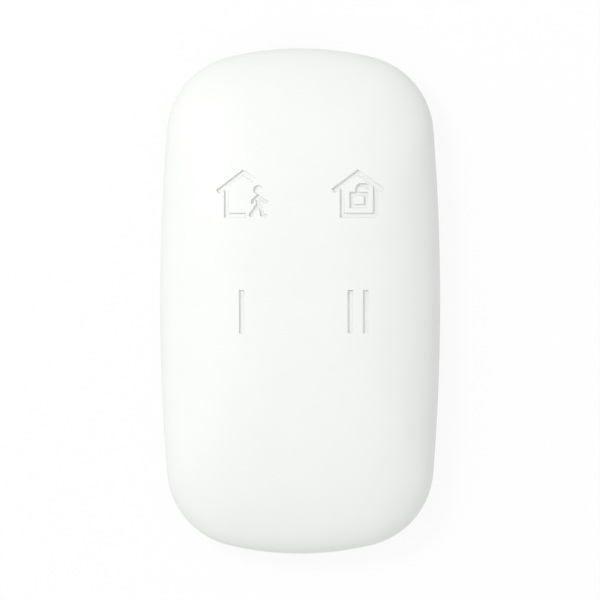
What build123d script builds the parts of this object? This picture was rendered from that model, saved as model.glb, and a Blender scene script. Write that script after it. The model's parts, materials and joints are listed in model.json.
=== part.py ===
from build123d import *

import math
import os

os.makedirs("parts", exist_ok=True)

# Alarm key fob: a pebble-shaped hand remote with a soft white face and four keys.
# It lies on its back. +Z points out of the face, +Y towards the lanyard end.
# The origin is on the back face, under the middle of the outline. Millimetres.

# Outline seen from the front: two side arcs, two end arcs and four corner arcs
fob_width = 38.8
fob_length = 70.0
fob_thickness = 13.0
side_radius = 300.0
end_radius = 42.0
corner_radius = 11.2

# Crowned face: outlines that shrink as they climb from the parting plane
parting_height = 4.6
crown_power_share = 3.0
crown_section_shares = (1.0, 0.99, 0.96, 0.91, 0.84, 0.75, 0.64, 0.52, 0.4, 0.28)

# Soft skin and the rigid frame under it
skin_thickness = 1.0
frame_wall = 1.2
bond_gap = 0.05
skirt_clearance = 0.1
skirt_wall = 0.8
skirt_reach = 1.15
skirt_rise = 2.0
collar_wall = 0.8
collar_depth = 1.3

# Rear shell
rear_step = 0.15
rear_wall = 2.25
back_wall = 1.5
back_round = 2.6
seam_gap = 0.25
rib_height = 1.2
rib_width = 0.8

# Seal in the rim of the rear shell
seal_width = 0.8
seal_height = 0.8
seal_land = 1.05
seal_clearance = 0.05

# Keys: two columns and two rows
key_pitch_share = 0.414
key_end_inset = 20.29
key_pitch_y = 16.32
key_web = 3.66
pad_margin = 0.8
pad_gap = 0.15
plunger_head_margin = 0.5
plunger_head_depth = 1.6
plunger_foot_radius = 1.5
plunger_foot_height = 0.6
plunger_rib_width = 1.0
plunger_rib_reach = 1.3

# Circuit board
board_bottom = 5.8
board_thickness = 1.0
board_inset = 4.1

# Key switches on the board
switch_size = 5.2
switch_height = 1.5
switch_chamfer = 0.5
switch_floor = 0.3
switch_roof = 0.45
chamber_radius = 2.05
stem_radius = 1.2
stem_clearance = 0.1
stem_collar_radius = 1.7
stem_collar_height = 0.2
stem_stand = 0.45
dome_radius = 1.9
dome_rise = 0.5
dome_thickness = 0.1
dome_gap = 0.02

# Coin cell and its contacts
cell_radius = 10.0
cell_height = 3.2
cell_can_height = 2.7
cell_cap_radius = 8.7
cell_edge_round = 0.3
cell_end_inset = 18.0
cell_gap = 0.05
leaf_thickness = 0.2
leaf_width = 3.0
leaf_bend = 0.8
leaf_base_length = 3.2
leaf_arm_length = 6.0
leaf_tip_length = 1.6
leaf_gap = 0.03
clip_width = 4.0
clip_base_length = 2.2
clip_drop = 1.9
clip_bend = 0.5

# Battery door: a coin turns it, three lugs hold it under the ledge of the well
door_recess = 0.1
door_disc_radius = 13.6
door_disc_thickness = 1.0
door_gap = 0.15
door_lift = 0.1
door_hub_radius = 11.6
door_hub_height = 2.1
door_cup_clearance = 0.25
door_floor = 1.6
door_edge_chamfer = 0.25
ledge_thickness = 0.9
lug_reach = 1.0
lug_height = 0.9
lug_count = 3
lug_angle = 24.0
notch_extra_angle = 4.0
door_turn_angle = 30.0
well_clearance = 0.3
well_wall = 1.5
slot_length = 14.0
slot_width = 2.0
slot_depth = 0.9
door_seal_radius = 13.1
door_seal_section = 0.28
door_seal_groove = 0.7
door_seal_depth = 0.55

# Screws through the rear shell and the board into the frame
screw_radius = 0.8
screw_head_radius = 1.5
screw_head_height = 0.9
screw_head_recess = 0.3
screw_tip_height = 8.4
screw_clearance = 0.15
screw_fit = 0.05
boss_radius = 2.2
frame_boss_radius = 1.7
upper_screw_side_inset = 7.2
upper_screw_end_inset = 9.5
lower_screw_side_inset = 5.8
lower_screw_lean = 32.9
well_boss_overlap = 0.4

# Lanyard pocket in the upper end of the back, with a bar across it
pocket_width = 8.0
pocket_depth = 4.6
pocket_height = 3.2
pocket_wall = 1.0
pocket_corner = 0.8
bar_radius = 0.8
bar_inset = 2.0
bar_height = 1.55
bar_fit = 0.03

# Parts under the upper half of the board
shield_antenna_gap = 2.25
shield_length = 10.0
shield_height = 1.8
shield_sheet = 0.2
shield_end_gap = 0.35
shield_corner = 0.6
radio_chip_size = 4.0
radio_chip_height = 0.9
controller_size = 7.0
controller_height = 1.0
controller_well_gap = 0.3
crystal_length = 3.2
crystal_width = 1.5
crystal_height = 0.8
crystal_x = -5.2
capacitor_length = 3.5
capacitor_width = 2.8
capacitor_height = 1.9
capacitor_x = -8.5
passive_length = 1.6
passive_width = 0.8
passive_height = 0.5
passive_pitch_x = 2.6
passive_pitch_y = 1.6
passive_rows = 4
passive_columns = 2
passive_x = 9.5
chip_edge = 0.15
antenna_boss_gap = 1.5
antenna_end_inset = 7.5
antenna_leg = 12.0
antenna_strip = 0.5
antenna_depth = 1.4
antenna_bend = 3.0

# Heights and places that follow from the sizes above
face_rise = fob_thickness - parting_height
cell_y = cell_end_inset - fob_length / 2
key_pitch_x = fob_width * key_pitch_share
key_field_y = fob_length / 2 - key_end_inset - key_pitch_y / 2
opening_radius = (key_pitch_x - key_web) / 2
pad_radius = opening_radius - pad_margin
plunger_head_radius = pad_radius - plunger_head_margin
plunger_rib_length = 2 * (plunger_foot_radius + plunger_rib_reach)
board_top = board_bottom + board_thickness
switch_top = board_top + switch_height
stem_top = switch_top + stem_stand
chamber_floor = board_top + switch_floor
chamber_height = switch_height - switch_floor - switch_roof
stem_bottom = chamber_floor + dome_rise + dome_gap
rim_height = parting_height - seam_gap
cavity_inset = rear_step + rear_wall
skirt_inset = cavity_inset + skirt_clearance
door_inside = door_recess + door_floor
cell_bottom = door_inside + cell_gap
cell_top = cell_bottom + cell_height
ledge_bottom = door_recess + door_disc_thickness + door_lift
ledge_top = ledge_bottom + ledge_thickness
hub_top = door_recess + door_disc_thickness + door_hub_height
lug_bottom = ledge_top + door_lift
lug_radius = door_hub_radius + lug_reach
ledge_radius = door_hub_radius + door_gap
well_radius = lug_radius + well_clearance
well_outer_radius = well_radius + well_wall
pocket_end = fob_length / 2 - pocket_depth
bar_y = fob_length / 2 - bar_inset
upper_screw_x = fob_width / 2 - upper_screw_side_inset
upper_screw_y = fob_length / 2 - upper_screw_end_inset
lower_screw_x = fob_width / 2 - lower_screw_side_inset
lower_screw_reach = well_outer_radius + boss_radius - well_boss_overlap
lower_screw_along = lower_screw_x * math.cos(math.radians(lower_screw_lean))
lower_screw_y = cell_y + (lower_screw_reach - lower_screw_along) / math.sin(math.radians(lower_screw_lean))
antenna_half_width = upper_screw_x - boss_radius - antenna_boss_gap
antenna_end_y = fob_length / 2 - antenna_end_inset
shield_width = 2 * (antenna_half_width - antenna_strip / 2 - shield_antenna_gap)
shield_y = antenna_end_y - antenna_strip / 2 - shield_end_gap - shield_length / 2
controller_y = cell_y + well_outer_radius + controller_well_gap + controller_size / 2

key_places = {
    "away": (-key_pitch_x / 2, key_field_y + key_pitch_y / 2),
    "disarm": (key_pitch_x / 2, key_field_y + key_pitch_y / 2),
    "one": (-key_pitch_x / 2, key_field_y - key_pitch_y / 2),
    "two": (key_pitch_x / 2, key_field_y - key_pitch_y / 2),
}
screw_places = [
    (side * x, y)
    for side in (-1, 1)
    for x, y in ((upper_screw_x, upper_screw_y), (lower_screw_x, lower_screw_y))
]


def save(builder, node):
    """Label a finished piece and write it under its node's name."""
    builder.part.label = node
    export_step(builder.part, f"parts/{node}.step")


def unit(dx, dy):
    """Direction of length one."""
    length = math.hypot(dx, dy)
    return dx / length, dy / length


def corner_centre():
    """Centre of the corner arc that touches both the side arc and the end arc."""
    side_centre_x = fob_width / 2 - side_radius
    end_centre_y = fob_length / 2 - end_radius
    side_reach = side_radius - corner_radius
    end_reach = end_radius - corner_radius
    span = math.hypot(side_centre_x, end_centre_y)
    ux, uy = unit(-side_centre_x, end_centre_y)
    along = (side_reach**2 - end_reach**2 + span**2) / (2 * span)
    across = math.sqrt(side_reach**2 - along**2)
    return side_centre_x + along * ux - across * uy, along * uy + across * ux


def draw_outline(inset=0, share=1, mode=Mode.ADD):
    """Draw the fob's outline in the open sketch, drawn in by inset, then shrunk by share."""
    cx, cy = corner_centre()
    side_ray = unit(cx - fob_width / 2 + side_radius, cy)
    end_ray = unit(cx, cy - fob_length / 2 + end_radius)
    corner_ray = unit(side_ray[0] + end_ray[0], side_ray[1] + end_ray[1])
    radius = corner_radius - inset

    def place(x, y, across, up):
        return across * x * share, up * y * share

    def on_corner(ray, across, up):
        return place(cx + radius * ray[0], cy + radius * ray[1], across, up)

    def on_side(across):
        return place(fob_width / 2 - inset, 0, across, 1)

    def on_end(up):
        return place(0, fob_length / 2 - inset, 1, up)

    with BuildLine() as outline:
        ThreePointArc(on_corner(side_ray, 1, -1), on_side(1), on_corner(side_ray, 1, 1))
        ThreePointArc(on_corner(side_ray, 1, 1), on_corner(corner_ray, 1, 1), on_corner(end_ray, 1, 1))
        ThreePointArc(on_corner(end_ray, 1, 1), on_end(1), on_corner(end_ray, -1, 1))
        ThreePointArc(on_corner(end_ray, -1, 1), on_corner(corner_ray, -1, 1), on_corner(side_ray, -1, 1))
        ThreePointArc(on_corner(side_ray, -1, 1), on_side(-1), on_corner(side_ray, -1, -1))
        ThreePointArc(on_corner(side_ray, -1, -1), on_corner(corner_ray, -1, -1), on_corner(end_ray, -1, -1))
        ThreePointArc(on_corner(end_ray, -1, -1), on_end(-1), on_corner(end_ray, 1, -1))
        ThreePointArc(on_corner(end_ray, 1, -1), on_corner(corner_ray, 1, -1), on_corner(side_ray, 1, -1))
    make_face(outline.edges(), mode=mode)


def draw_ring(outer_inset, width):
    """Draw a band that follows the outline, width wide."""
    draw_outline(outer_inset)
    draw_outline(outer_inset + width, mode=Mode.SUBTRACT)


def crown_climb(share):
    """Height of the crown, as a share of its full rise, where the outline has shrunk to share."""
    return math.sqrt(1 - share**crown_power_share)


def pillow(inset):
    """Crowned form over the parting plane, inset all over from the fob's face."""
    full_climb = crown_climb(crown_section_shares[-1])
    with BuildPart() as form:
        for share in crown_section_shares:
            level = parting_height + (face_rise - inset) * crown_climb(share) / full_climb
            with BuildSketch(Plane.XY.offset(level)):
                draw_outline(inset, share)
        loft()
    return form.part


# Forms that the skin, the frame and the keys share
face_form = pillow(0)
skin_inner_form = pillow(skin_thickness)
frame_outer_form = pillow(skin_thickness + bond_gap)
frame_inner_form = pillow(skin_thickness + bond_gap + frame_wall)

# Front skin: soft white cover, open where the four pads flex
with BuildPart() as front_skin:
    add(face_form)
    add(skin_inner_form, mode=Mode.SUBTRACT)
    with BuildSketch(Plane.XY.offset(parting_height)):
        with Locations(*key_places.values()):
            Circle(pad_radius + pad_gap)
    extrude(amount=fob_thickness, mode=Mode.SUBTRACT)
save(front_skin, "front_skin")

# Shell of the front frame before its openings
with BuildPart() as frame_shell:
    add(frame_outer_form)
    add(frame_inner_form, mode=Mode.SUBTRACT)

# Front frame: bosses and collars end on the crown, the skirt drops into the rear shell
with BuildPart() as front_frame:
    with BuildSketch(Plane.XY.offset(board_top)):
        with Locations(*screw_places):
            Circle(frame_boss_radius)
    extrude(amount=fob_thickness)
    collar_bottom = fob_thickness - skin_thickness - frame_wall - collar_depth
    with BuildSketch(Plane.XY.offset(collar_bottom)):
        with Locations(*key_places.values()):
            Circle(opening_radius + collar_wall)
    extrude(amount=fob_thickness)
    add(frame_outer_form, mode=Mode.INTERSECT)
    add(frame_shell.part)
    with BuildSketch(Plane.XY.offset(parting_height - skirt_reach)):
        draw_ring(skirt_inset, skirt_wall)
        with Locations((0, fob_length / 2)):
            Rectangle(pocket_width + 2 * pocket_wall + 2 * skirt_clearance, 2 * pocket_depth, mode=Mode.SUBTRACT)
        with Locations((0, cell_y)):
            Circle(well_outer_radius + skirt_clearance, mode=Mode.SUBTRACT)
    extrude(amount=skirt_reach + skirt_rise)
    with BuildSketch(Plane.XY.offset(parting_height)):
        with Locations(*key_places.values()):
            Circle(opening_radius)
    extrude(amount=fob_thickness, mode=Mode.SUBTRACT)
    with BuildSketch(Plane.XY.offset(board_top)):
        with Locations(*screw_places):
            Circle(screw_radius + screw_fit)
    extrude(amount=screw_tip_height + screw_clearance - board_top, mode=Mode.SUBTRACT)
save(front_frame, "front_frame")

# Key pads: the parts of the skin over the keys
for key, (key_x, key_y) in key_places.items():
    with BuildPart() as key_pad:
        with BuildSketch(Plane((key_x, key_y, parting_height))):
            Circle(pad_radius)
        extrude(amount=fob_thickness)
        add(face_form, mode=Mode.INTERSECT)
        add(skin_inner_form, mode=Mode.SUBTRACT)
    save(key_pad, f"key_pad_{key}")

# Plungers: hard feet under the pads, a head that follows the skin and a cross-ribbed post
plunger_head_bottom = fob_thickness - skin_thickness - plunger_head_depth
for key, (key_x, key_y) in key_places.items():
    with BuildPart() as plunger:
        with BuildSketch(Plane((key_x, key_y, plunger_head_bottom))):
            Circle(plunger_head_radius)
        extrude(amount=fob_thickness)
        add(frame_outer_form, mode=Mode.INTERSECT)
        with BuildSketch(Plane((key_x, key_y, stem_top + plunger_foot_height))):
            Rectangle(plunger_rib_width, plunger_rib_length)
            Rectangle(plunger_rib_length, plunger_rib_width)
            Circle(plunger_foot_radius)
        extrude(amount=plunger_head_bottom - stem_top - plunger_foot_height)
        with BuildSketch(Plane((key_x, key_y, stem_top))):
            Circle(plunger_foot_radius)
        extrude(amount=plunger_foot_height)
    save(plunger, f"plunger_{key}")

# Switch bodies: one group of four, each with a chamber for its dome and a hole for its stem
with BuildPart() as switch_bodies:
    with BuildSketch(Plane.XY.offset(board_top)):
        with Locations(*key_places.values()):
            Rectangle(switch_size, switch_size)
    extrude(amount=switch_height)
    chamfer(switch_bodies.edges().filter_by(Axis.Z), switch_chamfer)
    with BuildSketch(Plane.XY.offset(chamber_floor)):
        with Locations(*key_places.values()):
            Circle(chamber_radius)
    extrude(amount=chamber_height, mode=Mode.SUBTRACT)
    with BuildSketch(Plane.XY.offset(chamber_floor)):
        with Locations(*key_places.values()):
            Circle(stem_radius + stem_clearance)
    extrude(amount=switch_height, mode=Mode.SUBTRACT)
save(switch_bodies, "switch_bodies")

# Switch stems: round buttons with a collar that the switch's roof keeps in
for key, (key_x, key_y) in key_places.items():
    with BuildPart() as stem:
        with BuildSketch(Plane((key_x, key_y, stem_bottom))):
            Circle(stem_collar_radius)
        extrude(amount=stem_collar_height)
        with BuildSketch(Plane((key_x, key_y, stem_bottom))):
            Circle(stem_radius)
        extrude(amount=stem_top - stem_bottom)
    save(stem, f"switch_stem_{key}")

# Switch domes: thin snap domes that push the stems back
dome_sphere = (dome_radius**2 + dome_rise**2) / (2 * dome_rise)


def dome_point(radius, sphere):
    """Point of a dome's section, at a radius from its axis, on a sphere about the dome's centre."""
    return radius, math.sqrt(sphere**2 - radius**2) - dome_sphere + dome_rise


for key, (key_x, key_y) in key_places.items():
    with BuildPart() as dome:
        with BuildSketch(Plane((key_x, key_y, chamber_floor), x_dir=(1, 0, 0), z_dir=(0, -1, 0))):
            inner_sphere = dome_sphere - dome_thickness
            foot_radius = math.sqrt(inner_sphere**2 - (dome_sphere - dome_rise) ** 2)
            with BuildLine():
                ThreePointArc(
                    dome_point(dome_radius, dome_sphere),
                    dome_point(dome_radius / 2, dome_sphere),
                    dome_point(0, dome_sphere),
                )
                Line(dome_point(0, dome_sphere), dome_point(0, inner_sphere))
                ThreePointArc(
                    dome_point(0, inner_sphere),
                    dome_point(foot_radius / 2, inner_sphere),
                    dome_point(foot_radius, inner_sphere),
                )
                Line(dome_point(foot_radius, inner_sphere), dome_point(dome_radius, dome_sphere))
            make_face()
        revolve(axis=Axis((key_x, key_y, 0), (0, 0, 1)))
    save(dome, f"switch_dome_{key}")

# Circuit board, with clearance for the screws
with BuildPart() as circuit_board:
    with BuildSketch(Plane.XY.offset(board_bottom)):
        draw_outline(board_inset)
        with Locations(*screw_places):
            Circle(screw_radius + screw_clearance, mode=Mode.SUBTRACT)
    extrude(amount=board_thickness)
save(circuit_board, "circuit_board")

# Rear shell: a pan with a battery well, screw bosses, ribs and the lanyard pocket
with BuildPart() as rear_shell:
    with BuildSketch():
        draw_outline(rear_step)
    extrude(amount=rim_height)
    fillet(rear_shell.faces().sort_by(Axis.Z)[0].edges(), back_round)
    with BuildSketch(Plane.XY.offset(back_wall)):
        draw_outline(cavity_inset)
    extrude(amount=rim_height, mode=Mode.SUBTRACT)

    # Well wall, bosses and the block round the lanyard pocket stand on the back wall
    with BuildSketch(Plane.XY.offset(back_wall)):
        with Locations((0, cell_y)):
            Circle(well_outer_radius)
        with Locations(*screw_places):
            Circle(boss_radius)
    extrude(amount=board_bottom - back_wall)
    with BuildSketch(Plane.XY.offset(back_wall)):
        with Locations((0, pocket_end - pocket_wall)):
            Rectangle(
                pocket_width + 2 * pocket_wall,
                pocket_depth + pocket_wall - cavity_inset + pocket_wall / 2,
                align=(Align.CENTER, Align.MIN),
            )
    extrude(amount=pocket_height + pocket_wall - back_wall)
    rib_start = cell_y + well_outer_radius - rib_width
    with BuildSketch(Plane.XY.offset(back_wall)):
        with Locations((-upper_screw_x / 2, rib_start), (upper_screw_x / 2, rib_start)):
            Rectangle(rib_width, pocket_end - rib_start, align=(Align.CENTER, Align.MIN))
        with Locations((0, upper_screw_y)):
            Rectangle(2 * upper_screw_x, rib_width)
    extrude(amount=rib_height)

    # Groove of the seam seal, all round the rim
    with BuildSketch(Plane.XY.offset(rim_height)):
        draw_ring(seal_land + rear_step - seal_clearance, seal_width + 2 * seal_clearance)
    extrude(amount=parting_height - seal_height - rim_height, mode=Mode.SUBTRACT)

    # Stepped hole of the battery door: recess, ledge with three notches, and the well
    with BuildSketch():
        with Locations((0, cell_y)):
            Circle(door_disc_radius + door_gap)
    extrude(amount=ledge_bottom, mode=Mode.SUBTRACT)
    with BuildSketch():
        with Locations((0, cell_y)):
            Circle(ledge_radius)
    extrude(amount=board_bottom, mode=Mode.SUBTRACT)
    with BuildSketch(Plane.XY.offset(ledge_top)):
        with Locations((0, cell_y)):
            Circle(well_radius)
    extrude(amount=board_bottom - ledge_top, mode=Mode.SUBTRACT)
    notch_half = math.radians(lug_angle + notch_extra_angle) / 2
    for notch in range(lug_count):
        middle = math.radians(90 - door_turn_angle + 360 * notch / lug_count)
        with BuildSketch(Plane((0, cell_y, ledge_bottom))):
            with BuildLine():
                near = well_radius * math.cos(middle - notch_half), well_radius * math.sin(middle - notch_half)
                bulge = well_radius * math.cos(middle), well_radius * math.sin(middle)
                far = well_radius * math.cos(middle + notch_half), well_radius * math.sin(middle + notch_half)
                Line((0, 0), near)
                ThreePointArc(near, bulge, far)
                Line(far, (0, 0))
            make_face()
        extrude(amount=ledge_thickness, mode=Mode.SUBTRACT)

    # Screw holes and their counterbores
    with BuildSketch():
        with Locations(*screw_places):
            Circle(screw_radius + screw_clearance)
    extrude(amount=board_bottom, mode=Mode.SUBTRACT)
    with BuildSketch():
        with Locations(*screw_places):
            Circle(screw_head_radius + screw_clearance)
    extrude(amount=screw_head_recess + screw_head_height, mode=Mode.SUBTRACT)

    # Lanyard pocket, open to the back and the end, and the bores of its bar
    with BuildSketch():
        with Locations((0, pocket_end)):
            RectangleRounded(
                pocket_width, 2 * pocket_depth, pocket_corner, align=(Align.CENTER, Align.MIN)
            )
    extrude(amount=pocket_height, mode=Mode.SUBTRACT)
    with BuildSketch(Plane.YZ.offset(-pocket_width / 2 - pocket_wall + bar_fit)):
        with Locations((bar_y, bar_height)):
            Circle(bar_radius + bar_fit)
    extrude(amount=pocket_width + 2 * pocket_wall - 2 * bar_fit, mode=Mode.SUBTRACT)
save(rear_shell, "rear_shell")

# Battery door: flush disc with a coin slot, a cupped hub round the cell and three lugs
with BuildPart() as battery_door:
    with BuildSketch(Plane((0, cell_y, door_recess))):
        Circle(door_disc_radius)
    extrude(amount=door_disc_thickness)
    chamfer(battery_door.edges().group_by(Axis.Z)[0], door_edge_chamfer)
    with BuildSketch(Plane((0, cell_y, door_recess + door_disc_thickness))):
        Circle(door_hub_radius)
    extrude(amount=door_hub_height)
    for lug in range(lug_count):
        middle = math.radians(90 + 360 * lug / lug_count)
        lug_half = math.radians(lug_angle) / 2
        with BuildSketch(Plane((0, cell_y, lug_bottom))):
            with BuildLine():
                near = lug_radius * math.cos(middle - lug_half), lug_radius * math.sin(middle - lug_half)
                bulge = lug_radius * math.cos(middle), lug_radius * math.sin(middle)
                far = lug_radius * math.cos(middle + lug_half), lug_radius * math.sin(middle + lug_half)
                Line((0, 0), near)
                ThreePointArc(near, bulge, far)
                Line(far, (0, 0))
            make_face()
        extrude(amount=lug_height)
    with BuildSketch(Plane((0, cell_y, door_inside))):
        Circle(cell_radius + door_cup_clearance)
    extrude(amount=hub_top - door_inside, mode=Mode.SUBTRACT)
    with BuildSketch(Plane((0, cell_y, door_recess))):
        SlotOverall(slot_length, slot_width)
    extrude(amount=slot_depth, mode=Mode.SUBTRACT)
    with BuildSketch(Plane((0, cell_y, door_recess + door_disc_thickness))):
        Circle(door_seal_radius + door_seal_groove / 2)
        Circle(door_seal_radius - door_seal_groove / 2, mode=Mode.SUBTRACT)
    extrude(amount=-door_seal_depth, mode=Mode.SUBTRACT)
save(battery_door, "battery_door")

# Door seal: a rubber ring in the groove of the door's disc
door_seal_height = door_recess + door_disc_thickness - door_seal_depth + door_seal_section
with BuildPart() as door_seal:
    with BuildSketch(Plane((0, cell_y, 0), x_dir=(1, 0, 0), z_dir=(0, -1, 0))):
        with Locations((door_seal_radius, door_seal_height)):
            Circle(door_seal_section)
    revolve(axis=Axis((0, cell_y, 0), (0, 0, 1)))
save(door_seal, "door_seal")

# Seam seal: a rubber band in the rim of the rear shell, pressed by the frame
with BuildPart() as seam_seal:
    with BuildSketch(Plane.XY.offset(parting_height - seal_height)):
        draw_ring(seal_land + rear_step, seal_width)
    extrude(amount=seal_height)
save(seam_seal, "seam_seal")

# Coin cell: a can with rounded edges and a smaller cap that faces the board
with BuildPart() as coin_cell:
    with BuildSketch(Plane((0, cell_y, cell_bottom))):
        Circle(cell_radius)
    extrude(amount=cell_can_height)
    fillet(coin_cell.edges().filter_by(GeomType.CIRCLE), cell_edge_round)
    with BuildSketch(Plane((0, cell_y, cell_bottom + cell_can_height))):
        Circle(cell_cap_radius)
    extrude(amount=cell_height - cell_can_height)
    fillet(coin_cell.edges().group_by(Axis.Z)[-1], cell_edge_round)
save(coin_cell, "coin_cell")

# Negative contact: a leaf spring from the board down to the cell's cap
leaf_high = board_bottom - leaf_thickness / 2
leaf_low = cell_top + leaf_gap + leaf_thickness / 2
leaf_start = cell_y + leaf_arm_length / 2 + leaf_base_length
with BuildPart() as contact_negative:
    with BuildSketch(Plane.YZ.offset(-leaf_width / 2)):
        with BuildLine():
            FilletPolyline(
                (leaf_start, leaf_high),
                (leaf_start - leaf_base_length, leaf_high),
                (leaf_start - leaf_base_length - leaf_arm_length, leaf_low),
                (leaf_start - leaf_base_length - leaf_arm_length - leaf_tip_length, (leaf_high + leaf_low) / 2),
                radius=leaf_bend,
            )
        trace(line_width=leaf_thickness)
    extrude(amount=leaf_width)
save(contact_negative, "contact_negative")

# Positive contact: a clip that hangs from the board and touches the side of the can
clip_x = cell_radius + leaf_gap + leaf_thickness / 2
with BuildPart() as contact_positive:
    with BuildSketch(Plane((0, cell_y + clip_width / 2, 0), x_dir=(1, 0, 0), z_dir=(0, -1, 0))):
        with BuildLine():
            FilletPolyline(
                (clip_x + clip_base_length, leaf_high),
                (clip_x, leaf_high),
                (clip_x, leaf_high - clip_drop),
                radius=clip_bend,
            )
        trace(line_width=leaf_thickness)
    extrude(amount=clip_width)
save(contact_positive, "contact_positive")

# Radio shield: an open can under the board
with BuildPart() as radio_shield:
    with BuildSketch(Plane((0, shield_y, board_bottom))):
        RectangleRounded(shield_width, shield_length, shield_corner)
    extrude(amount=-shield_height)
    offset(amount=-shield_sheet, openings=radio_shield.faces().sort_by(Axis.Z)[-1])
save(radio_shield, "radio_shield")


def save_chip(node, middle_x, middle_y, length, width, height):
    """Moulded part under the board, its lower edge chamfered."""
    with BuildPart() as chip:
        with BuildSketch(Plane((middle_x, middle_y, board_bottom))):
            Rectangle(length, width)
        extrude(amount=-height)
        chamfer(chip.faces().sort_by(Axis.Z)[0].edges(), chip_edge)
    save(chip, node)


save_chip("radio_chip", 0, shield_y, radio_chip_size, radio_chip_size, radio_chip_height)
save_chip("controller_chip", 0, controller_y, controller_size, controller_size, controller_height)
save_chip("crystal", crystal_x, controller_y, crystal_width, crystal_length, crystal_height)
save_chip("supply_capacitor", capacitor_x, controller_y, capacitor_length, capacitor_width, capacitor_height)

# Small resistors and capacitors: one group under the board
with BuildPart() as small_components:
    with BuildSketch(Plane((passive_x, controller_y, board_bottom))):
        with GridLocations(passive_pitch_x, passive_pitch_y, passive_columns, passive_rows):
            Rectangle(passive_length, passive_width)
    extrude(amount=-passive_height)
save(small_components, "small_components")

# Loop antenna: a bent strip on edge round the shield
with BuildPart() as loop_antenna:
    with BuildSketch(Plane.XY.offset(board_bottom)):
        with BuildLine():
            FilletPolyline(
                (-antenna_half_width, antenna_end_y - antenna_leg),
                (-antenna_half_width, antenna_end_y),
                (antenna_half_width, antenna_end_y),
                (antenna_half_width, antenna_end_y - antenna_leg),
                radius=antenna_bend,
            )
        trace(line_width=antenna_strip)
    extrude(amount=-antenna_depth)
save(loop_antenna, "loop_antenna")

# Housing screws: four in one group, heads sunk in the back
with BuildPart() as housing_screws:
    with BuildSketch(Plane.XY.offset(screw_head_recess)):
        with Locations(*screw_places):
            Circle(screw_head_radius)
    extrude(amount=screw_head_height)
    with BuildSketch(Plane.XY.offset(screw_head_recess)):
        with Locations(*screw_places):
            Circle(screw_radius)
    extrude(amount=screw_tip_height - screw_head_recess)
save(housing_screws, "housing_screws")

# Lanyard bar: a steel pin across the pocket, both ends held in its walls
bar_length = pocket_width + 2 * pocket_wall - 4 * bar_fit
with BuildPart() as lanyard_bar:
    with BuildSketch(Plane.YZ.offset(-bar_length / 2)):
        with Locations((bar_y, bar_height)):
            Circle(bar_radius)
    extrude(amount=bar_length)
save(lanyard_bar, "lanyard_bar")
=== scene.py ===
import json
import logging
import math
from dataclasses import dataclass, field
from enum import Enum
from typing import Callable, ClassVar, Iterable, Sequence

import bpy
import numpy as np
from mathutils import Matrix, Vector
from mathutils.geometry import delaunay_2d_cdt

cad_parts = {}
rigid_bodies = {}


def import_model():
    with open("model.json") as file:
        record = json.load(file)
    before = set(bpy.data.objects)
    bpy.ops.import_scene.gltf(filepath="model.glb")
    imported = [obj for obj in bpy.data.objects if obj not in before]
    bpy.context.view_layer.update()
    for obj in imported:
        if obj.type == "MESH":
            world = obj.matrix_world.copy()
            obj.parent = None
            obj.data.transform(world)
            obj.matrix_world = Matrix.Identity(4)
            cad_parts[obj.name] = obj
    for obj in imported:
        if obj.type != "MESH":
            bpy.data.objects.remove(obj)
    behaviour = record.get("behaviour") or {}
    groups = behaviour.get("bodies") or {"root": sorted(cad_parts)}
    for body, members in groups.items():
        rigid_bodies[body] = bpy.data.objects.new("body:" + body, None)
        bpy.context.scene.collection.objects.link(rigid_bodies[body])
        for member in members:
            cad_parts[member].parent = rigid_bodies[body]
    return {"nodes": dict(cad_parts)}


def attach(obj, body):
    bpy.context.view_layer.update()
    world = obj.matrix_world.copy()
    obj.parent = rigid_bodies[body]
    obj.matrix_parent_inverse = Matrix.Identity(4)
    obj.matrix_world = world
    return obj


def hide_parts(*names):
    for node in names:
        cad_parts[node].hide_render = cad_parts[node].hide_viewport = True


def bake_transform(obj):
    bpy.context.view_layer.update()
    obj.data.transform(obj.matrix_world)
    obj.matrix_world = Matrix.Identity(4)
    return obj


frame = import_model()

# Looks of an alarm key fob. Sizes are in millimetres, unless they are said to be in metres.
MM = 0.001
ROUNDING = tuple(math.radians(angle) for angle in (30, 60, 90))  # rows round a rounded edge
INSIDE_ONLY = 1  # the triangulation keeps what lies inside its border
SAME_POINT = 1e-6  # distance at which it takes two points for one
ROW_STEP = math.sqrt(0.75)  # distance of staggered rows, as a share of their points' spacing
UP = np.array((0, 0, 1))
WHITE = (1.0, 1.0, 1.0, 1.0)
LOG = logging.getLogger("key_fob")
Array = np.ndarray
Shape = Callable[[Array], Array]
Socket = bpy.types.NodeSocket
Tree = bpy.types.NodeTree
Faces = list[tuple[int, ...]]
Piece = bpy.types.Object
Colour = tuple[float, ...]
Pair = tuple[float, float]
Triple = tuple[float, float, float]


class Texture(Enum):
    """How a finish breaks up its surface."""

    SATIN = "satin"
    SPARK = "spark"
    BRUSHED = "brushed"
    TURNED = "turned"
    LAMINATE = "laminate"


class Effect(Enum):
    """Shader node groups that several materials share."""

    GRAIN = "fine_grain"
    EDGE = "edge_wear"
    FILM = "handling_film"


class Key(Enum):
    """The four keys, with their places on the face."""

    AWAY = ("away", -8.032, 14.71)
    DISARM = ("disarm", 8.032, 14.71)
    ONE = ("one", -8.032, -1.61)
    TWO = ("two", 8.032, -1.61)

    @property
    def word(self) -> str:
        """Short name that the key's pieces carry."""
        return self.value[0]

    @property
    def place(self) -> Array:
        """Middle of the key on the face."""
        return np.array(self.value[1:])

    @property
    def body(self) -> str:
        """CAD body that moves when the key is pressed."""
        return f"key_{self.word}"


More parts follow.
